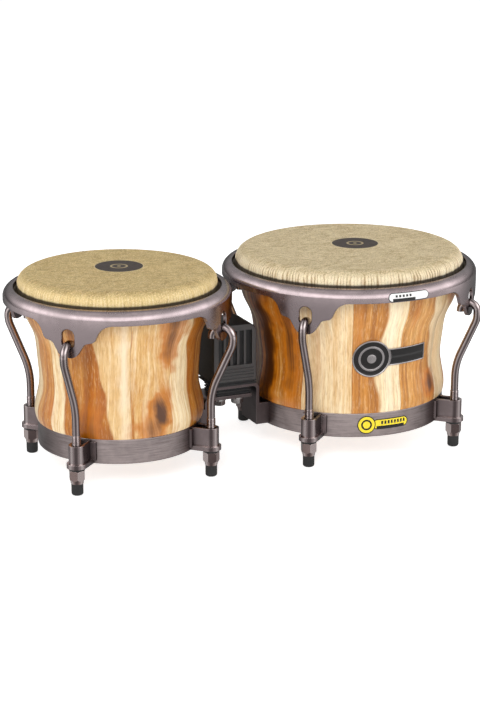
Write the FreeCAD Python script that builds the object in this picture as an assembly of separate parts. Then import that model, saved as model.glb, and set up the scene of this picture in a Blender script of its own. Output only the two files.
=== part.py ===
import FreeCAD, Part
import math
import os

# Bongo drums: a small drum (macho) and a large drum (hembra) joined by a bridge block.
# Millimetres. X runs from the macho to the hembra, Y to the back, Z up.
# The origin is on the floor, halfway along the pair.

OUT = "parts"

# ---------------------------------------------------------------- driving dimensions
AXIS_DISTANCE = 228.5        # between the two drum axes
STAVE_COUNT = 12             # wooden staves in each shell
LUG_ANGLES = (225, 315, 45, 135)
SEAT_GAP = 0.02              # gap left between pieces that are welded, glued or bolted together
RUN_GAP = 0.05               # radial clearance of a screw thread

# heights above the floor
FOOT_TOP = 10.5
NUT_TOP = 23.0
FLANGE_BOTTOM = 25.0
FLANGE_TOP = 29.0
STRAP_TOP = 45.5
RING_BOTTOM = 24.4
RING_TOP = 47.1
BAND_BOTTOM = 157.0          # lower edge of the rim between its ears
BAND_TOP = 161.6             # where the rim starts to round over
HEAD_TOP = 181.5

# tuning rods, nuts and feet
ROD_RADIUS = 3.55
THREAD_RADIUS = 4.0          # M8 x 1.25 rolled thread
THREAD_PITCH = 1.25
THREAD_DEPTH = 0.6
ROD_END = 4.0
THREAD_TOP = 55.0
ROD_LOW_BEND = (79.0, 60.0)  # height of the bend, radius of the bend
ROD_HIGH_BEND = (124.0, 20.0)
HOOK_DROP = 1.0              # straight end of the hook behind the ear
NUT_ACROSS_FLATS = 13.0
NUT_BOTTOM_RADIUS = 5.5
FOOT_RADIUS = 5.3
WASHER_RADIUS = 7.2
ROD_HOLE_RADIUS = 4.3

# rims and their ears
RIM_SHEET = 3.0
SLOT_WIDTH = 11.8
SLOT_BOTTOM = 135.2
SLOT_TOP = 152.4
EAR_TIP = 127.5
EDGE_BREAK = 0.6             # chamfer round the slots

# bottom rings and lug brackets
RING_SHEET = 2.5
RING_LIP = 6.0               # inward lip that carries the shell
STRAP_NOSE = 7.0
STRAP_SHEET = 2.4
FLANGE_NOSE = 9.0
TAB_REACH = 11.5
TAB_SHEET = 2.2

# shells and heads
WALL = 9.0
SHELL_BOTTOM = 27.0
BEARING_HEIGHT = HEAD_TOP - 1.9
SHOULDER_HEIGHT = 171.5
SKIN = 1.75
HOOP_RADIUS = 3.0
HOOP_HEIGHT = 160.3

# bridge between the drums
BLOCK_LOW_X = -38.0
BLOCK_HIGH_X = 5.0
BLOCK_HALF_DEPTH = 19.0
BLOCK_BOTTOM = 70.7
BLOCK_TOP = 124.0
BLOCK_CORNER = 9.0
BLOCK_ROUND = 1.6
PANEL_RISE = 15.0            # foot of the sunk panel above the block's foot
PANEL_MARGIN = 5.0
PANEL_DEPTH = 3.0
RIB_COUNT = 4
RIB_HALF = 1.2
GROOVE_COUNT = 4
GROOVE_WIDTH = 1.5
GROOVE_DEPTH = 0.8
PLATE = 3.0                  # steel thickness of both bridge brackets
UPPER_SHELF = 66.3           # top of the hembra bracket
LOWER_SHELF = 56.3           # top of the macho bracket
BRIDGE_FOOT = 26.0
GUSSET_TOP = 46.0
MACHO_LEG_X = -42.5          # outer face of the macho leg
HEMBRA_LEG_X = 5.3           # inner face of the hembra leg
BOLT_XS = (-28.5, -10.5)
BOLT_YS = (-9.0, 9.0)
BOLT_RADIUS = 3.0
BOLT_HOLE_RADIUS = 3.3
BOLT_REACH = 90.0
BOLT_ACROSS_FLATS = 10.0
BOLT_HEAD = 4.6
BOLT_WASHER = (6.2, 1.6)     # radius, thickness

# plain badge and labels on the hembra
BADGE_RADIUS = 17.5
BADGE_HEIGHT = 98.0
BADGE_ANGLE = 258.0
BADGE_SHEET = 1.2
PLATE_HALF_HEIGHT = 8.0
PLATE_END_ANGLE = 295.5
LABEL_SHEET = 0.3
RIM_LABEL = (20.0, 3.9, 161.4, 271.0)        # half length, half height, height, angle round the drum
RING_LABEL_BAR = (18.0, 4.8, 36.0, 270.5)    # the same four
RING_LABEL_DISC = (8.4, 255.5)               # radius, angle


class Drum:
    """One drum: its radii, its place and the outline of its shell as (height, radius) points."""

    def __init__(self, name, axis_x, rim, lug, ring, rod_reach, seam, outline):
        self.name = name
        self.axis_x = axis_x
        self.rim = rim
        self.lug = lug
        self.ring = ring
        self.rod_reach = rod_reach
        self.seam = seam
        self.outline = outline
        self.collar = rim - 13.0
        self.edge = self.collar - 2.0


MACHO_RIM = 102.0
HEMBRA_RIM = 118.0
MACHO_X = MACHO_RIM - (MACHO_RIM + AXIS_DISTANCE + HEMBRA_RIM) / 2
HEMBRA_X = MACHO_X + AXIS_DISTANCE

MACHO = Drum(
    "macho", MACHO_X, rim=MACHO_RIM, lug=89.5, ring=73.8, rod_reach=8.3, seam=17.7,
    outline=((47.2, 74.4), (57, 76.2), (68, 74.3), (80, 71.8), (100, 72.5), (118, 73.9),
             (128, 75.9), (137, 79.9), (146, 83.6), (158, 86.2), (SHOULDER_HEIGHT, 87.0)),
)
HEMBRA = Drum(
    "hembra", HEMBRA_X, rim=HEMBRA_RIM, lug=105.0, ring=89.4, rod_reach=6.4, seam=6.5,
    outline=((47.2, 89.9), (57, 90.5), (68, 88.6), (82, 86.6), (102, 88.3), (116, 90.1),
             (126, 93.3), (134, 97.4), (144, 100.6), (158, 102.5), (SHOULDER_HEIGHT, 103.0)),
)


# ---------------------------------------------------------------- helpers
def at(radius, height, side=0.0):
    """A point in the XZ plane, or beside it."""
    return FreeCAD.Vector(radius, side, height)


def path(start, *steps):
    """Edges from start through the steps. A step is (end,) for a line or (middle, end) for an arc."""
    edges = []
    for step in steps:
        points = [FreeCAD.Vector(*p) for p in (start,) + step]
        if len(points) == 2:
            edges.append(Part.makeLine(*points))
        else:
            edges.append(Part.Arc(*points).toShape())
        start = step[-1]
    return edges


def section(start, *steps):
    """A closed face in the XZ plane; points are (radius, height) and steps are as for path."""
    steps = tuple(tuple((r, 0, z) for r, z in step) for step in steps)
    first = (start[0], 0, start[1])
    return Part.Face(Part.Wire(path(first, *steps, (first,))))


def turned(face, angle=360.0):
    """The solid that a section sweeps round the Z axis."""
    return face.revolve(at(0, 0), at(0, 1), angle)


def tube(inner, outer, low, high):
    """A plain ring round the Z axis."""
    return turned(section((inner, low), ((outer, low),), ((outer, high),), ((inner, high),)))


def rod(radius, low, high, x=0.0, y=0.0):
    """An upright cylinder."""
    return Part.makeCylinder(radius, high - low, FreeCAD.Vector(x, y, low))


def block(low, high):
    """A box from its lowest to its highest corner."""
    size = [b - a for a, b in zip(low, high)]
    return Part.makeBox(*size, FreeCAD.Vector(*low))


def hexagon(across_flats, low, high, x=0.0, y=0.0):
    """An upright hexagonal prism."""
    radius = across_flats / math.sqrt(3)
    corners = []
    for i in range(7):
        a = math.radians(60 * i + 30)
        corners.append(FreeCAD.Vector(x + radius * math.cos(a), y + radius * math.sin(a), low))
    return Part.Face(Part.makePolygon(corners)).extrude(FreeCAD.Vector(0, 0, high - low))


def stadium(half_length, half_height, middle, low, high):
    """A bar along Y with round ends, running in X from low to high, centred at height middle."""
    r = half_height
    s = half_length - r
    rim = path(
        (low, -s, middle - r), ((low, s, middle - r),), ((low, s + r, middle), (low, s, middle + r)),
        ((low, -s, middle + r),), ((low, -s - r, middle), (low, -s, middle - r)),
    )
    return Part.Face(Part.Wire(rim)).extrude(FreeCAD.Vector(high - low, 0, 0))


def spun(shape, angle):
    """A copy turned round the Z axis by an angle in degrees."""
    copy = shape.copy()
    copy.rotate(at(0, 0), at(0, 1), angle)
    return copy


def save(name, shape, x=0.0):
    """Writes one node, moved to its drum's axis."""
    copy = shape.copy()
    copy.translate(FreeCAD.Vector(x, 0, 0))
    copy.exportStep(os.path.join(OUT, name + ".step"))


# ---------------------------------------------------------------- shells and heads
def shell_curve(drum, offset):
    """The shell's outline, moved out by offset, as one smooth edge."""
    curve = Part.BSplineCurve()
    curve.interpolate([at(r + offset, z) for z, r in drum.outline])
    return curve.toShape()


def shell(drum):
    """Equal staves. Each has a turned outline, a rabbet that drops into the ring and a rounded edge."""
    low_z, low_r = drum.outline[0]
    edge = drum.edge
    rabbet = drum.ring - RING_SHEET - 0.1
    inner_low = low_r - WALL
    crown = (edge - 8.0, BEARING_HEIGHT)
    outer = shell_curve(drum, 0.0)
    inner = shell_curve(drum, -WALL)
    over = path((edge, 0, SHOULDER_HEIGHT),
                ((edge - 2.9, 0, SHOULDER_HEIGHT + 5.6), (crown[0], 0, crown[1])),
                ((edge - WALL, 0, SHOULDER_HEIGHT + 4.0),), ((edge - WALL, 0, SHOULDER_HEIGHT),))
    under = path((inner_low, 0, low_z), ((inner_low, 0, SHELL_BOTTOM),), ((rabbet, 0, SHELL_BOTTOM),),
                 ((rabbet, 0, low_z),), ((low_r, 0, low_z),))
    profile = Part.Face(Part.Wire(Part.__sortEdges__([outer, inner] + over + under)))
    stave = turned(profile, 360.0 / STAVE_COUNT)
    staves = [spun(stave, drum.seam + i * 360.0 / STAVE_COUNT) for i in range(STAVE_COUNT)]
    return Part.Compound(staves)


def head(drum):
    """A skin with a rounded shoulder, a straight collar and its edge wrapped round the flesh hoop."""
    c = drum.collar
    flat = c - 11.5
    top = HEAD_TOP
    low = HOOP_HEIGHT
    skin = turned(section(
        (0, top), ((flat, top),), ((c - 3.4, SHOULDER_HEIGHT + 7.1), (c, SHOULDER_HEIGHT)), ((c, low),),
        ((c - SKIN, low),), ((c - SKIN, SHOULDER_HEIGHT),),
        ((c - 4.65, SHOULDER_HEIGHT + 5.85), (flat, top - SKIN)), ((0, top - SKIN),),
    ))
    hoop_r = hoop_axis(drum)
    wrap = Part.makeTorus(hoop_r, HOOP_RADIUS + RUN_GAP + SKIN, at(0, low), at(0, 1))
    hollow = Part.makeTorus(hoop_r, HOOP_RADIUS + RUN_GAP, at(0, low), at(0, 1))
    tuck = tube(c, hoop_r - 0.6, low, low + HOOP_RADIUS + SKIN + 1.0)
    return skin.fuse(wrap.cut(hollow).cut(tuck)).removeSplitter()


def hoop_axis(drum):
    """Radius of the flesh hoop's centre line: just outside the skin's collar."""
    return drum.collar + 4.4


def flesh_hoop(drum):
    return Part.makeTorus(hoop_axis(drum), HOOP_RADIUS, at(0, HOOP_HEIGHT), at(0, 1))


# ---------------------------------------------------------------- rims
def rim_section(drum, grow=0.0):
    """Upright band, round shoulder and a flange that slopes up over the flesh hoop."""
    r = drum.rim + grow
    return section(
        (r, BAND_BOTTOM), ((r, BAND_TOP),), ((r - 2.2, 166.0), (r - 6.2, 168.5)), ((r - 8.3, 168.9),),
        ((r - 9.6, 168.4), (r - 9.5, 166.9)), ((r - 8.6, 166.0),), ((r - 5.6, 164.5),),
        ((r - 3.7, 163.3), (r - RIM_SHEET, BAND_TOP)), ((r - RIM_SHEET, BAND_BOTTOM),),
    )


def ear_prism(drum):
    """The outline of one ear: concave shoulders, a step on each side and a blunt tip."""
    x = drum.rim - 12.0
    half = (
        ((38.5, BAND_BOTTOM),), ((31.2, 154.6), (27.0, 150.0)), ((25.0, 145.6),),
        ((23.6, 143.0), (20.6, 141.6)), ((18.0, 141.0),), ((15.2, 139.9), (13.2, 137.2)),
        ((9.6, 131.6),), ((7.0, 129.0), (3.2, EAR_TIP)),
    )
    right = [tuple((x, y, z) for y, z in step) for step in half]
    ends = [step[-1] for step in half]
    left = [((x, -3.2, EAR_TIP),)]
    for step, (y, z) in zip(reversed(half), reversed(ends[:-1])):
        through = [(x, -step[0][0], step[0][1])] if len(step) > 1 else []
        left.append(tuple(through + [(x, -y, z)]))
    top = [((x, -38.5, BAND_TOP),), ((x, 38.5, BAND_TOP),)]
    return Part.Face(Part.Wire(path((x, 38.5, BAND_TOP), *right, *left, *top))).extrude(at(20.0, 0))


def slotted_ear(drum):
    """One ear of the rim's sheet, with an upright slot whose outer edge is broken."""
    sheet = tube(drum.rim - RIM_SHEET, drum.rim, EAR_TIP - 3.0, BAND_TOP - 1.0)
    half = SLOT_WIDTH / 2
    near = drum.rim - 15.0
    slot = block((near, -half, SLOT_BOTTOM + half), (near + 30.0, half, SLOT_TOP - half))
    for z in (SLOT_BOTTOM + half, SLOT_TOP - half):
        slot = slot.fuse(Part.makeCylinder(half, 30.0, at(near, z), at(1, 0)))
    ear = sheet.common(ear_prism(drum)).cut(slot)
    lip = [e for e in ear.Edges if in_slot(e) and e.BoundBox.XMin > drum.rim - RIM_SHEET / 2]
    return ear.makeChamfer(EDGE_BREAK, lip)


def in_slot(edge):
    """True for an edge that borders the slot."""
    box = edge.BoundBox
    wide = max(abs(box.YMin), abs(box.YMax)) < SLOT_WIDTH / 2 + 0.1
    return wide and box.ZMin > SLOT_BOTTOM - 0.1 and box.ZMax < SLOT_TOP + 0.1


def rim(drum):
    ear = slotted_ear(drum)
    return turned(rim_section(drum)).fuse([spun(ear, a) for a in LUG_ANGLES]).removeSplitter()


# ---------------------------------------------------------------- tuning rods, nuts, washers and feet
def bend(corner, turn, radius, way):
    """Arc that rounds a corner of the rod's path from upright to leaning (way 1) or back (way -1)."""
    tangent = radius * math.tan(turn / 2)
    r, z = corner
    lean = (math.sin(turn), math.cos(turn))
    if way > 0:
        start = (r, z - tangent)
        centre = (r + radius, start[1])
        angles = (math.pi - turn / 2, math.pi - turn)
    else:
        start = (r - lean[0] * tangent, z - lean[1] * tangent)
        centre = (r - radius, z + tangent)
        angles = (-turn / 2, 0.0)
    points = [(centre[0] + radius * math.cos(a), 0, centre[1] + radius * math.sin(a)) for a in angles]
    return (start[0], 0, start[1]), points


def tuning_rod(drum):
    """Round bar: threaded foot, long lean outwards, and a hook that goes in through the ear's slot."""
    outer = drum.rim + drum.rod_reach
    plate = drum.rim - RIM_SHEET / 2
    hook = outer - plate
    under = hook - ROD_RADIUS
    rise = under - math.sqrt((under - SEAT_GAP) ** 2 - (RIM_SHEET / 2) ** 2)
    crest = SLOT_BOTTOM + ROD_RADIUS + rise
    low, low_radius = ROD_LOW_BEND
    high, high_radius = ROD_HIGH_BEND
    turn = math.atan2(outer - drum.lug, high - low)
    a_start, (a_mid, a_end) = bend((drum.lug, low), turn, low_radius, 1)
    b_start, (b_mid, b_end) = bend((outer, high), turn, high_radius, -1)
    hook_z = crest - hook
    inner = plate - hook
    line = Part.Wire(path(
        (drum.lug, 0, THREAD_TOP), (a_start,), (a_mid, a_end), (b_start,), (b_mid, b_end),
        ((outer, 0, hook_z),), ((plate, 0, crest), (inner, 0, hook_z)), ((inner, 0, hook_z - HOOK_DROP),),
    ))
    circle = Part.makeCircle(ROD_RADIUS, at(drum.lug, THREAD_TOP), at(0, 1))
    bar = line.makePipeShell([Part.Wire(circle)], True, True)
    thread = rod_thread()
    thread.translate(at(drum.lug, 0))
    return thread.fuse(bar)


def rod_thread():
    """The rod's threaded end, as ridges one pitch apart."""
    root = THREAD_RADIUS - THREAD_DEPTH
    count = int((THREAD_TOP - ROD_END - 2.0) / THREAD_PITCH)
    low = THREAD_TOP - 1.0 - count * THREAD_PITCH
    steps = [((root, ROD_END),)]
    for i in range(count):
        z = low + i * THREAD_PITCH
        steps.append(((root, z),))
        steps.append(((THREAD_RADIUS, z + 0.45 * THREAD_PITCH),))
        steps.append(((THREAD_RADIUS, z + 0.6 * THREAD_PITCH),))
    steps += [((root, THREAD_TOP - 1.0),), ((ROD_RADIUS, THREAD_TOP),), ((0, THREAD_TOP),)]
    return turned(section((0, ROD_END), *steps))


def tuning_nut(drum):
    """Hexagon nut that tapers to a round foot, bored through for the rod."""
    corner = NUT_ACROSS_FLATS / math.sqrt(3)
    low = FOOT_TOP
    bore = THREAD_RADIUS + RUN_GAP
    turning = turned(section(
        (bore, low), ((NUT_BOTTOM_RADIUS, low),), ((NUT_BOTTOM_RADIUS + 0.5, low + 2.5),),
        ((corner, low + 4.5),), ((corner, NUT_TOP - 0.8),), ((corner - 1.1, NUT_TOP),), ((bore, NUT_TOP),),
    ))
    nut = hexagon(NUT_ACROSS_FLATS, low - 1, NUT_TOP + 1).common(turning)
    nut.translate(at(drum.lug, 0))
    return nut


def foot_cap(drum):
    """Rubber cap under the nut, hollow for the rod's end."""
    top = FOOT_TOP - SEAT_GAP
    hollow = THREAD_RADIUS + 0.25
    cap = turned(section(
        (0, 0), ((FOOT_RADIUS - 2.0, 0),), ((FOOT_RADIUS - 0.6, 0.6), (FOOT_RADIUS, 2.0)),
        ((FOOT_RADIUS, top),), ((hollow, top),), ((hollow, 2.4),), ((0, 2.4),),
    ))
    cap.translate(at(drum.lug, 0))
    return cap


def washers(drum):
    low = NUT_TOP + SEAT_GAP
    high = FLANGE_BOTTOM - SEAT_GAP
    r = WASHER_RADIUS
    ring = turned(section((ROD_HOLE_RADIUS, low), ((r, low),), ((r, high - 0.5),), ((r - 0.5, high),),
                          ((ROD_HOLE_RADIUS, high),)))
    ring.translate(at(drum.lug, 0))
    return Part.Compound([spun(ring, a) for a in LUG_ANGLES])


# ---------------------------------------------------------------- bottom rings and lug brackets
def bottom_ring(drum):
    """Steel band with rolled edges and an inward lip under the shell."""
    r = drum.ring
    inner = r - RING_SHEET
    low = RING_BOTTOM
    lip_top = SHELL_BOTTOM - SEAT_GAP
    return turned(section(
        (inner - RING_LIP, low), ((r - 1.0, low),), ((r - 0.3, low + 0.3), (r, low + 1.0)),
        ((r, RING_TOP - 0.8),), ((r - 0.25, RING_TOP - 0.25), (r - 0.8, RING_TOP)),
        ((inner, RING_TOP),), ((inner, lip_top),), ((inner - RING_LIP, lip_top),),
    ))


def nose_plate(drum, nose, low, high):
    """A plate that runs out from the drum's axis and ends in a round nose on the rod's axis."""
    return block((drum.ring - 6, -nose, low), (drum.lug, nose, high)).fuse(rod(nose, low, high, drum.lug))


def lug_brackets(drum):
    """Welded U-straps: each has a flange with the rod's hole and two tabs that lie on the ring."""
    strap = nose_plate(drum, STRAP_NOSE, FLANGE_TOP - 1, STRAP_TOP)
    inside = nose_plate(drum, STRAP_NOSE - STRAP_SHEET, FLANGE_TOP, STRAP_TOP + 1)
    flange = nose_plate(drum, FLANGE_NOSE, FLANGE_BOTTOM, FLANGE_TOP)
    face = drum.ring + SEAT_GAP
    tabs = tube(face, face + TAB_SHEET, FLANGE_TOP - 1, STRAP_TOP - 1.0)
    side = STRAP_NOSE - STRAP_SHEET
    left = tabs.common(block((0, side, 0), (200, TAB_REACH, 60)))
    right = tabs.common(block((0, -TAB_REACH, 0), (200, -side, 60)))
    whole = strap.cut(inside).fuse([flange, left, right])
    whole = whole.cut(rod(ROD_HOLE_RADIUS, 0, FLANGE_TOP + 1, drum.lug))
    whole = whole.cut(rod(face, 0, 60)).removeSplitter()
    return Part.Compound([spun(whole, a) for a in LUG_ANGLES])


# ---------------------------------------------------------------- bridge
def bridge_bracket(leg_x, far_x, shelf, half_width, drum):
    """Bent plate: a shelf under the block, an upright leg, and two gussets welded to the drum's ring."""
    way = 1 if drum.axis_x > leg_x else -1
    face = leg_x + way * PLATE
    bend_out = 6.0
    bend_in = bend_out - PLATE
    top = shelf
    s = 1 - math.sqrt(0.5)
    flat = section(
        (far_x, top - PLATE), ((leg_x - way * bend_in, top - PLATE),),
        ((leg_x - way * bend_in * s, top - PLATE - bend_in * s), (leg_x, top - PLATE - bend_in)),
        ((leg_x, BRIDGE_FOOT),), ((face, BRIDGE_FOOT),), ((face, top - bend_out),),
        ((face - way * bend_out * s, top - bend_out * s), (face - way * bend_out, top)), ((far_x, top),),
    )
    plate = flat.extrude(FreeCAD.Vector(0, 2 * half_width, 0))
    plate.translate(FreeCAD.Vector(0, -half_width, 0))
    reach = sorted((leg_x + way * 0.5, drum.axis_x))
    low = (reach[0], -half_width, BRIDGE_FOOT)
    high = (reach[1], -half_width + PLATE, GUSSET_TOP)
    gusset = block(low, high)
    other = block((low[0], half_width - PLATE, low[2]), (high[0], half_width, high[2]))
    ring = rod(drum.ring + SEAT_GAP, 0, 200, drum.axis_x)
    whole = plate.fuse([gusset.cut(ring), other.cut(ring)])
    for x in BOLT_XS:
        for y in BOLT_YS:
            whole = whole.cut(rod(BOLT_HOLE_RADIUS, top - PLATE - 1, top + 1, x, y))
    return whole.removeSplitter()


def rubber_pad(low, high, inset, groove_count):
    """Rubber between the plates, with grooves round its edge and holes for the bolts."""
    depth = 1.2
    ends = (BLOCK_LOW_X + inset, BLOCK_HIGH_X - inset)
    half = BLOCK_HALF_DEPTH - inset
    pad = block((ends[0], -half, low), (ends[1], half, high))
    core = block((ends[0] + depth, -half + depth, low - 1), (ends[1] - depth, half - depth, high + 1))
    step = (high - low) / (2 * groove_count + 1)
    for i in range(groove_count):
        z = low + (2 * i + 1) * step
        band = block((ends[0] - 1, -half - 1, z), (ends[1] + 1, half + 1, z + step))
        pad = pad.cut(band.cut(core))
    for x in BOLT_XS:
        for y in BOLT_YS:
            pad = pad.cut(rod(BOLT_HOLE_RADIUS, low - 1, high + 1, x, y))
    return pad


def rounded_block():
    """The block's body: a slab with two large upper corners and softened front and back edges."""
    x0, x1, y = BLOCK_LOW_X, BLOCK_HIGH_X, BLOCK_HALF_DEPTH
    low, high = BLOCK_BOTTOM, BLOCK_TOP
    s = BLOCK_CORNER * (1 - math.sqrt(0.5))
    face = section(
        (x0, low), ((x1, low),), ((x1, high - BLOCK_CORNER),),
        ((x1 - s, high - s), (x1 - BLOCK_CORNER, high)), ((x0 + BLOCK_CORNER, high),),
        ((x0 + s, high - s), (x0, high - BLOCK_CORNER)),
    )
    body = face.extrude(FreeCAD.Vector(0, 2 * y, 0))
    body.translate(FreeCAD.Vector(0, -y, 0))
    faces = [e for e in body.Edges if abs(abs(e.CenterOfMass.y) - y) < 0.01]
    rounded = [e for e in faces if e.CenterOfMass.z > low + 1]
    return body.makeFillet(BLOCK_ROUND, rounded)


def ribbed_panel(body, side):
    """Sinks a panel with upright ribs into one face, and cuts level grooves below it."""
    x0, x1, y = BLOCK_LOW_X, BLOCK_HIGH_X, BLOCK_HALF_DEPTH
    low = BLOCK_BOTTOM + PANEL_RISE
    high = BLOCK_TOP - PANEL_MARGIN - 1
    y_near, y_far = sorted((side * (y - PANEL_DEPTH), side * (y + 1.0)))
    body = body.cut(block((x0 + PANEL_MARGIN, y_near, low), (x1 - PANEL_MARGIN, y_far, high)))
    y_near, y_far = sorted((side * (y - GROOVE_DEPTH), side * (y + 1.0)))
    for i in range(GROOVE_COUNT):
        z = BLOCK_BOTTOM + 2.0 + 2 * GROOVE_WIDTH * i
        body = body.cut(block((x0 + 3, y_near, z), (x1 - 3, y_far, z + GROOVE_WIDTH)))
    y_near, y_far = sorted((side * (y - PANEL_DEPTH - 0.5), side * (y - 1.0)))
    pitch = (x1 - x0 - 2 * PANEL_MARGIN) / (RIB_COUNT + 1)
    for i in range(RIB_COUNT):
        x = x0 + PANEL_MARGIN + pitch * (i + 1)
        body = body.fuse(block((x - RIB_HALF, y_near, low - 0.5), (x + RIB_HALF, y_far, high + 0.5)))
    return body


def centre_block():
    """Moulded block with the same panel front and back, bored from below for the bolts."""
    body = rounded_block()
    for side in (-1, 1):
        body = ribbed_panel(body, side)
    for x in BOLT_XS:
        for y in BOLT_YS:
            body = body.cut(rod(BOLT_RADIUS + RUN_GAP, BLOCK_BOTTOM - 1, BOLT_REACH + 2, x, y))
    return body.removeSplitter()


def bridge_bolts():
    """Hexagon bolts that clamp both brackets and both pads to the block."""
    seat = LOWER_SHELF - PLATE - BOLT_WASHER[1] - 2 * SEAT_GAP
    low = seat - BOLT_HEAD
    corner = BOLT_ACROSS_FLATS / math.sqrt(3)
    steps = (((corner - 0.9, low),), ((corner, low + 0.6),), ((corner, seat),), ((0, seat),))
    bolts = []
    for x in BOLT_XS:
        for y in BOLT_YS:
            turning = turned(section((0, low), *steps))
            turning.translate(FreeCAD.Vector(x, y, 0))
            top = hexagon(BOLT_ACROSS_FLATS, low, seat, x, y).common(turning)
            bolts.append(top.fuse(rod(BOLT_RADIUS, seat - 1, BOLT_REACH, x, y)).removeSplitter())
    return Part.Compound(bolts)


def bridge_washers():
    radius, thickness = BOLT_WASHER
    high = LOWER_SHELF - PLATE - SEAT_GAP
    rings = []
    for x in BOLT_XS:
        for y in BOLT_YS:
            ring = tube(BOLT_RADIUS + 0.2, radius, high - thickness, high)
            ring.translate(FreeCAD.Vector(x, y, 0))
            rings.append(ring)
    return Part.Compound(rings)


# ---------------------------------------------------------------- badge and labels
def shell_skin(drum, thickness, low, high):
    """A thin sheet that follows the shell's outside."""
    glue = SEAT_GAP + 0.03
    near = shell_curve(drum, glue)
    far = shell_curve(drum, thickness)
    foot, crown = drum.outline[0], drum.outline[-1]
    ends = [Part.makeLine(at(r + glue, z), at(r + thickness, z)) for z, r in (foot, crown)]
    sheet = turned(Part.Face(Part.Wire(Part.__sortEdges__([near, far] + ends))))
    return sheet.common(tube(1.0, 150.0, low, high))


def badge_cutter(grow=0.0):
    """Round bar along X, at the badge's height."""
    return Part.makeCylinder(BADGE_RADIUS + grow, 150.0, at(20, BADGE_HEIGHT), FreeCAD.Vector(1, 0, 0))


def badge(drum):
    """Round badge that follows the shell."""
    sheet = shell_skin(drum, BADGE_SHEET, 78.0, 118.0)
    return spun(sheet.common(badge_cutter()), BADGE_ANGLE)


def name_plate(drum):
    """Blank plate beside the badge."""
    low = BADGE_HEIGHT - PLATE_HALF_HEIGHT
    high = BADGE_HEIGHT + PLATE_HALF_HEIGHT
    sheet = shell_skin(drum, BADGE_SHEET * 0.7, low, high)
    start = section((1, 0), ((150, 0),), ((150, 160),), ((1, 160),))
    wedge = turned(start, PLATE_END_ANGLE - BADGE_ANGLE)
    sheet = sheet.common(wedge).cut(badge_cutter(SEAT_GAP + 0.03))
    return spun(sheet, BADGE_ANGLE)


def rim_label(drum):
    """Blank label that wraps over the rim's shoulder."""
    half_length, half_height, middle, angle = RIM_LABEL
    outside = turned(rim_section(drum, LABEL_SHEET)).cut(turned(rim_section(drum, SEAT_GAP)))
    pill = stadium(half_length, half_height, middle, 60, 150)
    label = outside.common(pill).common(block((drum.rim - 12, -30, 150), (drum.rim + 5, 30, 170)))
    return spun(label, angle)


def ring_label(drum):
    """Blank label on the ring: a round end and a bar."""
    half_length, half_height, middle, bar_angle = RING_LABEL_BAR
    radius, disc_angle = RING_LABEL_DISC
    face = drum.ring + SEAT_GAP
    sheet = tube(face, face + LABEL_SHEET, RING_BOTTOM + 1, RING_TOP - 1)
    disc = Part.makeCylinder(radius, 60.0, at(60, middle), FreeCAD.Vector(1, 0, 0))
    bar = stadium(half_length, half_height, middle, 60, 120)
    both = spun(sheet.common(disc), disc_angle).fuse(spun(sheet.common(bar), bar_angle))
    return both.removeSplitter()


# ---------------------------------------------------------------- nodes
def save_drum(drum):
    """Every node of one drum."""
    groups = {
        "shell": shell(drum),
        "head": head(drum),
        "flesh_hoop": flesh_hoop(drum),
        "rim": rim(drum),
        "bottom_ring": bottom_ring(drum),
        "lug_brackets": lug_brackets(drum),
        "lug_washers": washers(drum),
    }
    for part, shape in groups.items():
        save(drum.name + "_" + part, shape, drum.axis_x)
    repeated = {
        "tuning_rod": tuning_rod(drum),
        "tuning_nut": tuning_nut(drum),
        "foot_cap": foot_cap(drum),
    }
    for part, shape in repeated.items():
        for number, angle in enumerate(LUG_ANGLES, 1):
            save(drum.name + "_" + part + "_" + str(number), spun(shape, angle), drum.axis_x)


def save_bridge():
    """The block, its brackets, pads and bolts."""
    save("centre_block", centre_block())
    save("macho_bridge_bracket",
         bridge_bracket(MACHO_LEG_X, BLOCK_HIGH_X - 4, LOWER_SHELF, 16.0, MACHO))
    save("hembra_bridge_bracket",
         bridge_bracket(HEMBRA_LEG_X, BLOCK_LOW_X + 4, UPPER_SHELF, 17.0, HEMBRA))
    save("upper_rubber_pad", rubber_pad(UPPER_SHELF + SEAT_GAP, BLOCK_BOTTOM - SEAT_GAP, 0.5, 1))
    save("lower_rubber_pad", rubber_pad(LOWER_SHELF + SEAT_GAP, UPPER_SHELF - PLATE - SEAT_GAP, 4.5, 2))
    save("bridge_bolts", bridge_bolts())
    save("bridge_washers", bridge_washers())


def main():
    os.makedirs("parts", exist_ok=True)
    save_drum(MACHO)
    save_drum(HEMBRA)
    save_bridge()
    save("hembra_badge", badge(HEMBRA), HEMBRA.axis_x)
    save("hembra_name_plate", name_plate(HEMBRA), HEMBRA.axis_x)
    save("hembra_rim_label", rim_label(HEMBRA), HEMBRA.axis_x)
    save("hembra_ring_label", ring_label(HEMBRA), HEMBRA.axis_x)


main()
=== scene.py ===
import math

import bmesh
import bpy
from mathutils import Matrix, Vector, noise
from mathutils.bvhtree import BVHTree


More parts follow.
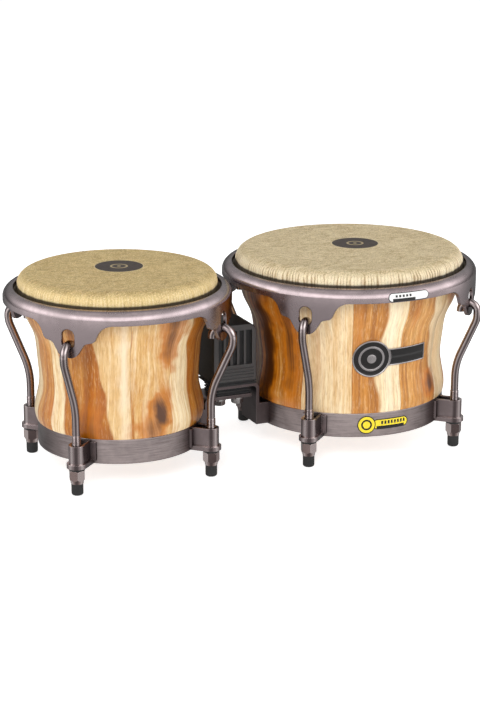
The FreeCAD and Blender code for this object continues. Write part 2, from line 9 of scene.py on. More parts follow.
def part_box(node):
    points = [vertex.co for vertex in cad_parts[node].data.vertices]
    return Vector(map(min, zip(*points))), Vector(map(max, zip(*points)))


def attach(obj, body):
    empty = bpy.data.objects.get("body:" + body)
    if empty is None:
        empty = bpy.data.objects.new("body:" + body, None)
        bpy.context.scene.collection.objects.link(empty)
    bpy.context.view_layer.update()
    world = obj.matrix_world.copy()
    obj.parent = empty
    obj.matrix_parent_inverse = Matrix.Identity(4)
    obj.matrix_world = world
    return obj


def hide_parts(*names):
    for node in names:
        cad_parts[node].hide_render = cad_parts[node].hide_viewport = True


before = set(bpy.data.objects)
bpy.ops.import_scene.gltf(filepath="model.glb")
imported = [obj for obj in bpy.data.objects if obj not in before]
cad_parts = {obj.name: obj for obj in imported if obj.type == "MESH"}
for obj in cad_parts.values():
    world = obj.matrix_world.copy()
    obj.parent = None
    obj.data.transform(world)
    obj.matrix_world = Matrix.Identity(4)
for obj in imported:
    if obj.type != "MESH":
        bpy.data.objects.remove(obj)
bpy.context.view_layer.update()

# A pair of bongo drums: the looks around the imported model. Metres, in the model's own frame.

MM = 0.001
DRUMS = ("macho", "hembra")
LUGS_PER_DRUM = 4

# places on the hembra, in degrees round the drum, and the far end of the name plate in metres
BADGE_ANGLE = 258.0
RIM_LABEL_ANGLE = 271.0
BAR_ANGLE = 270.5
DISC_ANGLE = 255.5
NAME_PLATE_END = 0.0535

# camera: place, degrees round the drums, degrees below the horizon, focal length and film width in mm
CAMERA_PLACE = (-0.7634, -1.7631, 0.6460)
CAMERA_AZIMUTH = -23.31
CAMERA_DOWN = 16.31
CAMERA_LENS = 108.7
CAMERA_FILM = 36


# ---------------------------------------------------------------- measures taken from the frame
def ring_axis(drum):
    """Centre of a drum in plan, and the radius of its bottom ring."""
    low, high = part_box(drum + "_bottom_ring")
    return (low + high) / 2, (high.x - low.x) / 2


def head_size(drum):
    """Height of a head's top, and the radius of its widest place."""
    low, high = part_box(drum + "_head")
    return high.z, (high.x - low.x) / 2


CENTRE = {drum: ring_axis(drum)[0] for drum in DRUMS}
RING_RADIUS = {drum: ring_axis(drum)[1] for drum in DRUMS}
HEAD_TOP = {drum: head_size(drum)[0] for drum in DRUMS}
WRAP_RADIUS = {drum: head_size(drum)[1] for drum in DRUMS}
SHELL_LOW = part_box("macho_shell")[0].z
SHELL_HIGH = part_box("macho_shell")[1].z


# ---------------------------------------------------------------- colours and material building
def srgb(red, green, blue):
    """An 8-bit screen colour as linear RGBA."""
    def linear(c):
        c /= 255
        return c / 12.92 if c <= 0.04045 else ((c + 0.055) / 1.055) ** 2.4
    return (linear(red), linear(green), linear(blue), 1.0)


def dimmed(tint, share):
    """A screen colour made darker or lighter, as linear RGBA."""
    return srgb(*[c * share for c in tint])


class Shade:
    """Builds one node material with short calls. Every call returns an output socket."""

    def __init__(self, name):
        self.material = bpy.data.materials.new(name)
        self.material.use_nodes = True
        self.tree = self.material.node_tree
        self.tree.nodes.clear()
        self.surface = self.tree.nodes.new("ShaderNodeBsdfPrincipled")
        output = self.tree.nodes.new("ShaderNodeOutputMaterial")
        self.tree.links.new(self.surface.outputs[0], output.inputs[0])

    @classmethod
    def inside(cls, tree):
        """The same calls for a tree that already exists, such as the world's."""
        shade = cls.__new__(cls)
        shade.tree = tree
        return shade

    def node(self, kind, inputs, output=0, **settings):
        node = self.tree.nodes.new("ShaderNode" + kind)
        for key, value in settings.items():
            setattr(node, key, value)
        for key, value in inputs.items():
            self.plug(node.inputs[key], value)
        return node.outputs[output]

    def plug(self, socket, value):
        if isinstance(value, bpy.types.NodeSocket):
            self.tree.links.new(value, socket)
        elif value is not None:
            socket.default_value = value

    def set(self, **values):
        """Sets inputs of the surface; an underscore in a name stands for a space."""
        for key, value in values.items():
            self.plug(self.surface.inputs[key.replace("_", " ")], value)

    def math(self, operation, a, b=None, clamp=False):
        return self.node("Math", {0: a, 1: b}, operation=operation, use_clamp=clamp)

    def place(self, origin=(0, 0, 0)):
        """Position in the row frame, counted from origin."""
        spot = self.node("TexCoord", {}, "Object")
        return self.node("VectorMath", {0: spot, 1: tuple(origin)}, operation="SUBTRACT")

    def about(self, drum, height=0.0):
        """The three coordinates counted from a drum's axis and a height."""
        return self.split(self.place((CENTRE[drum].x, CENTRE[drum].y, height)))

    def length(self, vector):
        return self.node("VectorMath", {0: vector}, "Value", operation="LENGTH")

    def split(self, vector):
        node = self.tree.nodes.new("ShaderNodeSeparateXYZ")
        self.plug(node.inputs[0], vector)
        return node.outputs[0], node.outputs[1], node.outputs[2]

    def join(self, x, y, z):
        return self.node("CombineXYZ", {0: x, 1: y, 2: z})

    def noise(self, vector, scale=1.0, detail=3.0, rough=0.5, bend=0.0):
        inputs = {"Vector": vector, "Scale": scale, "Detail": detail, "Roughness": rough, "Distortion": bend}
        return self.node("TexNoise", inputs, "Fac")

    def stretched(self, x, y, z, scales, detail=3.0, rough=0.5, bend=0.0):
        """Noise with a scale of its own along each direction; a scale of None leaves the value as it is."""
        parts = [part if scale is None else self.math("MULTIPLY", part, scale)
                 for part, scale in zip((x, y, z), scales)]
        return self.noise(self.join(*parts), 1.0, detail, rough, bend)

    def mix(self, share, a, b):
        node = self.tree.nodes.new("ShaderNodeMix")
        node.data_type = "RGBA"
        self.plug(node.inputs[0], share)
        self.plug(node.inputs[6], a)
        self.plug(node.inputs[7], b)
        return node.outputs[2]

    def mix_value(self, share, a, b):
        """A number between a and b."""
        return self.math("ADD", a, self.math("MULTIPLY", share, self.math("SUBTRACT", b, a)))

    def between(self, value, low, high, start=0.0, end=1.0, smooth=True):
        """Maps value from low..high to start..end, held at the ends."""
        inputs = {"Value": value, "From Min": low, "From Max": high, "To Min": start, "To Max": end}
        return self.node("MapRange", inputs, interpolation_type="SMOOTHSTEP" if smooth else "LINEAR")

    def layers(self, colour, fields, table):
        """Lays tints over a colour. Each row has a field's name, the value where the tint starts, the value
        where it is full, its greatest share, and its screen colour."""
        for name, start, full, share, tint in table:
            colour = self.mix(self.between(fields[name], start, full, 0.0, share), colour, srgb(*tint))
        return colour

    def ramp(self, value, stops, mode="LINEAR"):
        """Colour ramp; stops are (place, colour)."""
        node = self.tree.nodes.new("ShaderNodeValToRGB")
        node.color_ramp.interpolation = mode
        while len(node.color_ramp.elements) < len(stops):
            node.color_ramp.elements.new(0.5)
        for element, (spot, colour) in zip(node.color_ramp.elements, stops):
            element.position = spot
            element.color = colour
        self.plug(node.inputs[0], value)
        return node.outputs[0]

    def bump(self, height, distance, normal=None):
        return self.node("Bump", {"Height": height, "Distance": distance, "Strength": 1.0, "Normal": normal})

    def edge(self, radius):
        """How far a soft bevel would turn the surface here: 0 on flats, up to 1 on sharp edges."""
        soft = self.node("Bevel", {"Radius": radius}, samples=6)
        flat = self.node("NewGeometry", {}, "Normal")
        dot = self.node("VectorMath", {0: soft, 1: flat}, "Value", operation="DOT_PRODUCT")
        return self.math("SUBTRACT", 1.0, dot, clamp=True), soft


# ---------------------------------------------------------------- wood
# One row per stave, counted anticlockwise from the first seam: where the heartwood starts at the bottom and
# at the top (share of the stave's width), which side it lies on (0 left, 1 right), its depth of colour
# (0 tan, 1 dark), the warmth of the sapwood (0 cream, 1 tan) and how dark the stave's right edge is.
MACHO_STAVES = (
    (0.30, 0.45, 1, 0.35, 0.3, 0.2), (1.20, 1.10, 1, 0.20, 0.8, 0.0), (0.60, 0.40, 0, 0.55, 0.2, 0.0),
    (-0.2, -0.1, 1, 0.25, 0.5, 0.3), (0.62, 0.50, 0, 0.45, 0.2, 0.0), (0.38, 0.42, 1, 0.36, 0.1, 0.0),
    (0.54, 0.10, 1, 0.40, 0.05, 0.5), (0.62, 0.02, 0, 0.50, 0.66, 0.0), (0.02, 0.04, 0, 0.30, 0.80, 0.1),
    (0.54, 0.44, 1, 0.46, 0.0, 0.8), (0.80, 0.90, 0, 0.60, 0.2, 0.0), (1.20, 1.20, 1, 0.30, 0.7, 0.2),
)
# the sixth stave, from 156.5 to 186.5 degrees, faces the macho and is all dark heartwood: dark wood and
# painted shade from the macho
HEMBRA_STAVES = (
    (0.50, 0.35, 1, 0.50, 0.2, 0.0), (-0.2, -0.2, 1, 0.30, 0.5, 0.3), (0.25, 0.40, 1, 0.60, 0.1, 0.0),
    (0.70, 0.55, 0, 0.35, 0.4, 0.0), (1.20, 1.20, 1, 0.20, 0.6, 0.2), (1.20, 1.20, 0, 0.95, 0.95, 0.0),
    (-0.2, -0.2, 1, 0.36, 0.95, 0.0), (-0.2, 0.02, 0, 0.30, 0.16, 0.0), (0.48, 0.54, 0, 0.30, 0.0, 0.0),
    (0.95, 0.55, 0, 0.22, 0.2, 0.4), (0.55, 0.60, 1, 0.40, 0.3, 0.0), (0.55, 0.35, 0, 0.65, 0.3, 0.2),
)
# degrees round the drum
FIRST_SEAM = {"macho": 17.7, "hembra": 6.5}
# saturation and brightness of the wood
WOOD_TONE = {"macho": (1.09, 0.94), "hembra": (1.06, 1.0)}
# knots and streaks: angle round the drum, height and radius in millimetres, height over width, and depth,
# which is below zero for a pale streak
MACHO_KNOTS = (
    (279.5, 67, 8, 1.7, 0.90), (273.0, 54, 14, 1.5, 0.58), (284.0, 76, 8, 2.5, 0.36),
    (286.0, 152, 12, 1.6, 0.60), (286.0, 134, 9, 3.0, 0.58), (196.0, 66, 8, 1.6, 0.20),
    (229.0, 52, 12, 2.5, 0.52), (253.5, 110, 4, 18.0, -0.80), (96, 120, 9, 1.6, 0.70),
)
# the dark streaks at 188 and 207.5 degrees, on the side towards the macho, are dark wood and painted shade
# from the macho
HEMBRA_KNOTS = (
    (301.5, 64, 8, 1.6, 0.75), (314.0, 148, 9, 1.6, 0.45), (188.0, 100, 12, 9.0, 0.88),
    (207.5, 110, 8, 9.0, 0.62), (250.5, 120, 4, 9.0, 0.20), (290.0, 105, 3, 12.0, 0.16),
    (282.5, 140, 4, 6.0, 0.20), (226.5, 100, 3, 16.0, 0.13), (269.5, 105, 4, 18.0, -0.60),
    (60, 80, 10, 1.6, 0.80), (140, 135, 9, 1.6, 0.60),
)
# only knots push the grain aside; a row that is taller than this is a streak
KNOT_TALLEST = 2

# noises of the wood: scale across and along the grain, detail, roughness and distortion
WOOD_FIELDS = {
    "wave": (9, 13, 2, 0.5, 0.0), "grain": (620, 20, 5, 0.6, 0.4), "flame": (60, 9, 3, 0.5, 0.6),
    "fleck": (800, 130, 3, 0.65, 0.0), "pore": (2600, 150, 2, 0.5, 0.0), "streak": (1500, 70, 3, 0.7, 0.0),
    "cloud": (45, 26, 3, 0.5, 0.0), "band": (210, 5, 3, 0.6, 0.0),
}
CREAM = (246, 228, 190)
TAN = (226, 184, 122)
SAP_LAYERS = (("band", 0.48, 0.66, 0.45, (218, 172, 110)), ("band", 0.50, 0.36, 0.50, (252, 236, 204)),
              ("grain", 0.35, 0.70, 0.55, (210, 160, 94)))
SAP_LIGHTS = (("streak", 0.48, 0.30, 0.40, (255, 240, 206)),)
# colours of the heartwood from the palest to the darkest
HEART_TONES = ((0.0, (226, 172, 100)), (0.3, (208, 142, 70)), (0.5, (184, 110, 46)), (0.75, (140, 76, 28)),
               (1.0, (78, 42, 18)))
HEART_LAYERS = (("band", 0.46, 0.62, 0.40, (118, 60, 20)), ("band", 0.48, 0.34, 0.40, (250, 208, 140)),
                ("grain", 0.40, 0.68, 0.30, (104, 50, 18)), ("flame", 0.42, 0.66, 0.225, (128, 62, 22)),
                ("cloud", 0.50, 0.30, 0.25, (236, 184, 112)), ("streak", 0.48, 0.30, 0.15, (244, 196, 128)))
FLECK_LAYERS = (("fleck", 0.50, 0.64, 0.20, (150, 84, 30)), ("fleck", 0.48, 0.36, 0.15, (255, 236, 196)),
                ("streak", 0.50, 0.72, 0.25, (140, 76, 28)))
KNOT_LAYERS = (("knot", 0.02, 0.30, 0.75, (192, 112, 42)), ("knot", 0.22, 0.75, 0.95, (62, 30, 12)))


def stave_row(s, staves, index):
    """The six values of the stave table that hold here."""
    count = len(staves)
    middle = s.math("DIVIDE", s.math("ADD", index, 0.5), count)
    # a ramp holds its values as colours, which can't be negative, so 1 is added to where heartwood starts
    starts = [(i / count, (row[0] + 1, row[1] + 1, row[2], 1)) for i, row in enumerate(staves)]
    tones = [(i / count, row[3:] + (1,)) for i, row in enumerate(staves)]
    return s.split(s.ramp(middle, starts, "CONSTANT")) + s.split(s.ramp(middle, tones, "CONSTANT"))


def knot_fields(s, drum, knots, angle, z, sideways, seed):
    """How dark and how pale knots and streaks make the wood, and how far they push the grain aside."""
    dark = pale = push = 0.0
    wobble = s.noise(s.join(sideways, z, seed), 70, 2)
    for knot_angle, knot_z, radius, tall, depth in knots:
        away = s.math("SUBTRACT", angle, math.radians((knot_angle + 180) % 360 - 180))
        away = s.math("MULTIPLY", away, RING_RADIUS[drum] / (radius * MM))
        rise = s.math("MULTIPLY", s.math("SUBTRACT", z, knot_z * MM), 1 / (tall * radius * MM))
        far = s.math("ADD", s.math("POWER", away, 2), s.math("POWER", rise, 2))
        rough_far = s.math("MULTIPLY", far, s.between(wobble, 0.3, 0.7, 0.5, 1.6))
        near = s.math("MULTIPLY", s.math("EXPONENT", s.math("MULTIPLY", rough_far, -1.0)), abs(depth))
        if depth > 0:
            dark = s.math("MAXIMUM", dark, near)
        else:
            pale = s.math("MAXIMUM", pale, near)
        if tall < KNOT_TALLEST:
            wide = s.math("EXPONENT", s.math("MULTIPLY", far, -0.25))
            push = s.math("ADD", push, s.math("MULTIPLY", wide, s.math("MULTIPLY", away, 0.5 * radius * MM)))
    return dark, pale, push


def sapwood(s, fields, warmth):
    colour = s.layers(s.mix(warmth, srgb(*CREAM), srgb(*TAN)), fields, SAP_LAYERS)
    clouds = s.math("MULTIPLY", s.between(fields["cloud"], 0.45, 0.7, 0.0, 0.7), warmth)
    return s.layers(s.mix(clouds, colour, srgb(200, 142, 76)), fields, SAP_LIGHTS)


def heartwood(s, fields, depth):
    colour = s.ramp(depth, [(place, srgb(*tone)) for place, tone in HEART_TONES])
    return s.layers(colour, fields, HEART_LAYERS)


def wood(drum, staves, knots):
    """Lacquered staves: cream sapwood against orange heartwood, growth rings, pores, knots and fine seams."""
    s = Shade(drum + "_staves")
    x, y, z = s.about(drum)
    angle = s.math("ARCTAN2", y, x)
    turn = s.math("SUBTRACT", angle, math.radians(FIRST_SEAM[drum]))
    spot = s.math("MULTIPLY", s.math("FRACT", s.math("DIVIDE", turn, 2 * math.pi)), len(staves))
    index = s.math("FLOOR", spot)
    across = s.math("FRACT", spot)
    seed = s.math("MULTIPLY", index, 3.17)
    sideways = s.math("MULTIPLY", spot, 2 * math.pi * RING_RADIUS[drum] / len(staves))
    start_low, start_high, side, depth, warmth, edge_dark = stave_row(s, staves, index)
    dark, pale, push = knot_fields(s, drum, knots, angle, z, sideways, seed)

    bent = s.math("SUBTRACT", sideways, push)
    fields = {name: s.stretched(bent, z, seed, (wide, long, None), *rest)
              for name, (wide, long, *rest) in WOOD_FIELDS.items()}
    pores = s.between(fields["pore"], 0.62, 0.74)
    fields["knot"] = s.math("MULTIPLY", dark, s.between(fields["grain"], 0.2, 0.8, 0.7, 1.15))

    high = s.between(z, SHELL_LOW, SHELL_HIGH, smooth=False)
    start = s.math("SUBTRACT", s.mix_value(high, start_low, start_high), 1.0)
    start = s.math("ADD", start, s.between(fields["wave"], 0.25, 0.75, -0.13, 0.13))
    past_start = s.math("SUBTRACT", across, start)
    past = s.between(past_start, -0.035, 0.035)
    heart = s.mix_value(side, s.math("SUBTRACT", 1.0, past), past)
    colour = s.mix(heart, sapwood(s, fields, warmth), heartwood(s, fields, depth))

    halo = s.math("MULTIPLY", s.between(s.math("ABSOLUTE", past_start), 0.0, 0.10, 1.0, 0.0), heart)
    colour = s.mix(s.math("MULTIPLY", halo, 0.35), colour, srgb(146, 78, 30))
    colour = s.layers(colour, fields, FLECK_LAYERS)
    pore_share = s.math("MULTIPLY", pores, s.math("ADD", 0.12, s.math("MULTIPLY", heart, 0.3)))
    colour = s.mix(pore_share, colour, srgb(92, 50, 22))
    colour = s.mix(s.math("MULTIPLY", pale, 0.75), colour, srgb(255, 246, 222))
    colour = s.layers(colour, fields, KNOT_LAYERS)

    ragged = s.math("ADD", across, s.between(fields["wave"], 0.2, 0.8, -0.06, 0.06))
    brink = s.math("MULTIPLY", edge_dark, s.between(across, 1.0, 0.985, 0.5, 1.0))
    brink = s.math("MULTIPLY", s.between(ragged, 0.86, 0.97), brink)
    colour = s.mix(s.math("MULTIPLY", brink, 0.8), colour, srgb(112, 54, 22))
    saturation, brightness = WOOD_TONE[drum]
    colour = s.node("HueSaturation", {"Saturation": saturation, "Value": brightness, "Color": colour})
    line = s.between(s.math("MINIMUM", across, s.math("SUBTRACT", 1.0, across)), 0.002, 0.008, 1.0, 0.0)
    colour = s.mix(s.math("MULTIPLY", line, 0.25), colour, srgb(96, 54, 26))

    relief = s.math("SUBTRACT", s.math("MULTIPLY", fields["grain"], 0.25), s.math("MULTIPLY", pores, 0.3))
    relief = s.math("SUBTRACT", relief, line)
    s.set(Base_Color=colour, Roughness=s.between(fields["grain"], 0.3, 0.7, 0.36, 0.46), Coat_Weight=0.55,
          Coat_Roughness=0.16, Normal=s.bump(relief, 0.00008))
    return s.material


# ---------------------------------------------------------------- heads
# dark, middle, light and palest tone of each skin
SKIN_TONES = {"macho": ((164, 138, 84), (190, 164, 108), (210, 184, 126), (226, 200, 142)),
              "hembra": ((176, 154, 112), (202, 182, 140), (222, 204, 166), (238, 222, 188))}
# pleats of the collar: strength of the painted shade and highlight on them and depth on each drum, and width,
# in metres
PLEAT_PAINTED_SHADE = {"macho": 0.25, "hembra": 0.7}
PLEAT_DEPTH = {"macho": 0.0006, "hembra": 0.0012}
PLEAT_WIDTH = 0.0033
# printed discs, in metres: centre from the drum's axis, radius, pale outline, plain ring, dot, soft edge
DISC_SHIFT = {"macho": (0.0060, 0.0119), "hembra": (0.0106, 0.0090)}
DISC_RADIUS = 0.0215
DISC_OUTLINE = 0.0008
DISC_RING = (0.0062, 0.0080)
DISC_DOT = 0.0018
DISC_SOFT = 0.00025
# skin, in metres: thickness, width and height of the shoulder, unevenness of the struck face
SKIN_THICK = 0.00175
SHOULDER = (0.0115, 0.0100)
RIPPLE = 0.00012
HEAD_STEPS = 720


def skin_fields(s, drum):
    """Noises of the skin by name, and the coordinates about the drum's axis."""
    spot = s.place((CENTRE[drum].x, CENTRE[drum].y, 0))
    x, y, z = s.split(spot)
    return {"x": x, "y": y, "z": z, "warp": s.noise(spot, 26, 3, 0.6, 0.8),
            "cloud": s.stretched(x, y, z, (60, 110, None), 5, 0.62, 1.2),
            "fibre": s.stretched(x, y, z, (240, 900, 240), 4, 0.65, 0.7),
            "strand": s.stretched(x, y, z, (120, 420, None), 4, 0.6, 2.2),
            "speck": s.noise(spot, 1100, 2, 0.5)}


def skin_top(s, fields, tones):
    dark, middle, light, palest = tones
    colour = s.ramp(fields["cloud"], [(0.38, srgb(*dark)), (0.5, srgb(*middle)), (0.62, srgb(*light))])
    return s.layers(colour, fields, (
        ("warp", 0.35, 0.65, 0.3, middle),
        ("strand", 0.50, 0.62, 0.55, palest), ("strand", 0.46, 0.36, 0.55, dark),
        ("fibre", 0.48, 0.68, 0.35, palest), ("fibre", 0.42, 0.28, 0.35, dark),
        ("speck", 0.54, 0.66, 0.6, (130, 102, 58)), ("speck", 0.46, 0.34, 0.6, (244, 226, 184))))


def skin_collar(s, fields, drum):
    """Palest tone with upright pleats, painted darker in their valleys and lighter on their ridges as shade
    and highlight: from the mesh's own wrinkles, and from finer stripes.
    """
    x, y, z = fields["x"], fields["y"], fields["z"]
    pleats = round(2 * math.pi * WRAP_RADIUS[drum] / PLEAT_WIDTH)
    drift = s.math("MULTIPLY", s.stretched(x, y, z, (90, 90, 30)), 14)
    stripe = s.math("SINE", s.math("ADD", s.math("MULTIPLY", s.math("ARCTAN2", y, x), pleats), drift))
    crease = s.math("MULTIPLY", s.node("Attribute", {}, "Fac", attribute_name="crease"), 0.45)
    crease = s.math("ADD", crease, s.between(stripe, -1.0, 1.0, 0.0, 0.55, smooth=False))
    _, _, light, palest = SKIN_TONES[drum]
    pleat_shade = PLEAT_PAINTED_SHADE[drum]
    return s.layers(srgb(*palest), dict(fields, crease=crease), (
        ("fibre", 0.40, 0.65, 0.5, light),
        # painted shade in the pleats' valleys and painted highlight on their ridges
        ("crease", 0.46, 0.12, pleat_shade, (150, 112, 66)), ("crease", 0.54, 0.85, pleat_shade, (248, 232, 200)),
        ("speck", 0.54, 0.66, 0.35, (150, 118, 70)), ("speck", 0.46, 0.34, 0.35, (248, 232, 196))))


def printed_disc(s, fields, drum, colour):
    """A dark disc with a thin pale outline, a plain ring and a dot, on the top of the skin only."""
    level = [s.math("SUBTRACT", fields[key], shift) for key, shift in zip("xy", DISC_SHIFT[drum])]
    out = s.length(s.join(*level, 0))

    def band(inner, outer):
        past_inner = s.between(out, inner - DISC_SOFT, inner + DISC_SOFT)
        return s.math("MULTIPLY", past_inner, s.between(out, outer + DISC_SOFT, outer - DISC_SOFT))
    ink = s.math("MULTIPLY", band(-MM, DISC_RADIUS), s.between(fields["fibre"], 0.2, 0.35, 0.86, 1.0))
    outline = s.math("MULTIPLY", band(DISC_RADIUS, DISC_RADIUS + DISC_OUTLINE), 0.5)
    pale = s.math("MAXIMUM", band(*DISC_RING), band(-MM, DISC_DOT))
    on_top = s.between(fields["z"], HEAD_TOP[drum] - 0.003, HEAD_TOP[drum] - 0.002)
    colour = s.mix(s.math("MULTIPLY", outline, on_top), colour, srgb(226, 208, 170))
    return s.mix(s.math("MULTIPLY", ink, on_top), colour, s.mix(pale, srgb(50, 41, 36), srgb(176, 158, 122)))


def skin(drum):
    """Mottled tan skin with fine fibres, a paler pleated collar, painted shade that makes it near black from
    a little below the top down, and a printed disc.
    """
    s = Shade(drum + "_skin")
    fields = skin_fields(s, drum)
    top = HEAD_TOP[drum]
    fall = s.between(fields["z"], top - 0.0005, top - 0.006)
    colour = s.mix(fall, skin_top(s, fields, SKIN_TONES[drum]), skin_collar(s, fields, drum))
    # painted shade: from a little below the top down, the skin is darkened to near black, for the shade in
    # the gap between the collar and the rim
    painted_gap_shade = s.between(fields["z"], top - 0.0100, top - 0.0118)
    colour = s.mix(s.math("MULTIPLY", painted_gap_shade, 0.94), colour, srgb(34, 25, 20))
    colour = printed_disc(s, fields, drum, colour)
    relief = s.math("ADD", s.math("MULTIPLY", fields["fibre"], 0.6), s.math("MULTIPLY", fields["cloud"], 0.8))
    s.set(Base_Color=colour, Roughness=s.between(fields["fibre"], 0.3, 0.7, 0.62, 0.5),
          Normal=s.bump(relief, 0.00012), Subsurface_Weight=0.08, Subsurface_Radius=(0.004, 0.002, 0.001),
          Subsurface_Scale=0.4)
    return s.material


def arc(centre, size, start, end, steps):
    """Points of an arc in a half section, from one angle to another in degrees."""
    for i in range(steps + 1):
        a = math.radians(start + (end - start) * i / steps)
        yield centre[0] + size[0] * math.cos(a), centre[1] + size[1] * math.sin(a)


def head_outline(drum):
    """Half section of the skin as (radius, height, amount of wrinkle), outside first, then back inside."""
    top = HEAD_TOP[drum]
    collar = WRAP_RADIUS[drum] - 9.2 * MM
    hoop = collar + 4.4 * MM
    hoop_z = top - 21.2 * MM
    flat = collar - SHOULDER[0]
    bend = (flat, top - SHOULDER[1])
    points = [(flat * i / 16, top, 0.0) for i in range(16)]
    points += [(r, z, (i / 16) ** 1.5) for i, (r, z) in enumerate(arc(bend, SHOULDER, 90, 0, 16))]
    points += [(collar, bend[1] - i * 1.02 * MM, 1.0) for i in range(1, 9)]
    points += [(collar + 0.25 * MM, hoop_z + 2.45 * MM, 0.8), (collar + 0.8 * MM, hoop_z + 2.3 * MM, 0.6),
               (collar + 1.2 * MM, hoop_z + 2.9 * MM, 0.5)]
    points += [(r, z, 0.5) for r, z in arc((hoop, hoop_z), (4.8 * MM, 4.8 * MM), 125, -90, 14)]
    points += [(collar + 1.0 * MM, hoop_z - 4.0 * MM, 0.2), (collar - SKIN_THICK, hoop_z - 2.0 * MM, 0.0)]
    inner = [size - SKIN_THICK for size in SHOULDER]
    points += [(r, z, 0.0) for r, z in arc(bend, inner, 0, 90, 12)]
    return points + [(flat * 0.5, top - SKIN_THICK, 0.0), (0.0, top - SKIN_THICK, 0.0)]


def make_head(drum):
    """Turned skin with upright wrinkles that grow down the collar, closed over the hoop."""
    centre = CENTRE[drum]
    mesh = bmesh.new()
    crease = mesh.verts.layers.float.new("crease")
    loops = []
    for r, z, amount in head_outline(drum):
        shown = min(1.0, amount ** 0.4)
        loop = []
        for i in range(HEAD_STEPS if r else 1):
            a = 2 * math.pi * i / HEAD_STEPS
            out = Vector((math.cos(a), math.sin(a), 0))
            around = out * WRAP_RADIUS[drum]
            fold = wrinkle(around, z)
            reach = r + PLEAT_DEPTH[drum] * amount * (fold - 0.6)
            rise = ripple(around, r) if z == HEAD_TOP[drum] else 0.0
            vert = mesh.verts.new((centre.x + reach * out.x, centre.y + reach * out.y, z + rise))
            vert[crease] = fold * shown + 0.5 * (1 - shown)
            loop.append(vert)
        loops.append(loop)
    for first, second in zip(loops, loops[1:]):
        join_loops(mesh, first, second)
    return finish_mesh(mesh, drum + "_skin")


def ripple(around, r):
    """Unevenness of the struck face, none at its middle."""
    return RIPPLE * noise.noise(around * 14 + Vector((0, 0, r * 30))) * min(1, r / 0.02)


def wrinkle(around, z):
    """Height of the wrinkled collar at a place round the drum, 0 to 1."""
    tall = Vector((0, 0, z * 16))
    broad = noise.noise(around * 110 + tall)
    fine = noise.noise(around * 420 + tall * 1.6)
    pleat = noise.noise(around * 240 + tall * 1.3)
    return max(0.0, min(1.0, 0.5 + 0.30 * broad + 0.75 * fine + 0.60 * pleat))


# ---------------------------------------------------------------- mesh helpers
def join_loops(mesh, first, second, material=0):
    """Faces between two closed loops; a loop of one vertex is a pole."""
    count = max(len(first), len(second))
    for i in range(count):
        j = (i + 1) % count
        if len(first) == 1:
            corners = (first[0], second[i], second[j])
        elif len(second) == 1:
            corners = (first[i], second[0], first[j])
        else:
            corners = (first[i], second[i], second[j], first[j])
        face = mesh.faces.new(corners)
        face.material_index = material
        face.smooth = True


def finish_mesh(mesh, name, merge=0.0):
    """Turns a bmesh into a linked object with outward normals."""
    if merge:
        bmesh.ops.remove_doubles(mesh, verts=mesh.verts, dist=merge)
    bmesh.ops.recalc_face_normals(mesh, faces=mesh.faces)
    data = bpy.data.meshes.new(name)
    mesh.to_mesh(data)
    mesh.free()
    piece = bpy.data.objects.new(name, data)
    bpy.context.scene.collection.objects.link(piece)
    return piece


class Drape:
    """Places points on a CAD node, seen along a level line towards a drum's axis."""

    REACH = 0.2

    def __init__(self, node, drum, angle, height):
        self.tree = BVHTree.FromObject(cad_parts[node], bpy.context.evaluated_depsgraph_get())
        a = math.radians(angle)
        self.out = Vector((math.cos(a), math.sin(a), 0))
        self.side = Vector((-math.sin(a), math.cos(a), 0))
        self.centre = Vector((CENTRE[drum].x, CENTRE[drum].y, height))

    def at(self, across, up, proud):
        """The point at (across, up) from the middle, standing proud of the surface."""
        start = self.centre + self.side * across + Vector((0, 0, up)) + self.out * self.REACH
        place, normal, _, _ = self.tree.ray_cast(start, -self.out)
        if normal.dot(self.out) < 0:
            normal = -normal
        return place + normal * proud


# height of a plate's underside above the surface it follows
SEAT = 0.00003


def draped_plate(name, drape, shape, steps):
    """A thin plate that follows a surface. Each step is (inset from the outline, share of the way out,
    height above the surface, material)."""
    mesh = bmesh.new()
    loops = []
    for inset, share, proud, _ in steps:
        loops.append([mesh.verts.new(drape.at(x, y, proud)) for x, y in shape(inset, share)])
    for first, second, (_, _, _, material) in zip(loops, loops[1:], steps[1:]):
        join_loops(mesh, first, second, material)
    join_loops(mesh, loops[-1], loops[0])
    return finish_mesh(mesh, name, merge=0.00001)


def bordered(border, high, field, shares=(0.75, 0.5, 0.25, 0.0)):
    """Steps of a plate with a raised border round a lower field."""
    steps = [(0.0, 1.0, SEAT, 0), (0.0, 1.0, high * 0.8, 0), (border * 0.15, 1.0, high, 0)]
    steps += [(border * 0.85, 1.0, high, 0), (border, 1.0, field, 0)]
    steps += [(border, share, field, 1) for share in shares]
    return steps + [(border, 0.0, SEAT, 0)]


def disc(radius, steps=96):
    """Outline of a disc, as a function of the inset and of the share of the way out."""
    turns = [2 * math.pi * i / steps for i in range(steps)]

    def shape(inset, share):
        reach = (radius - inset) * share
        return [(reach * math.cos(a), reach * math.sin(a)) for a in turns]
    return shape


def pill(half_length, half_height, steps=24):
    """Outline of a level bar with round ends; it shrinks to its long middle line."""
    across = half_length - half_height

    def shape(inset, share):
        high = half_height - inset
        outline = []
        for half in (1, -1):
            for x, y in arc((across, 0), (high, high * share), -90, 90, steps):
                outline.append((half * x, half * y))
            for i in range(1, steps):
                outline.append((half * across * (1 - 2 * i / steps), half * high * share))
        return outline
    return shape


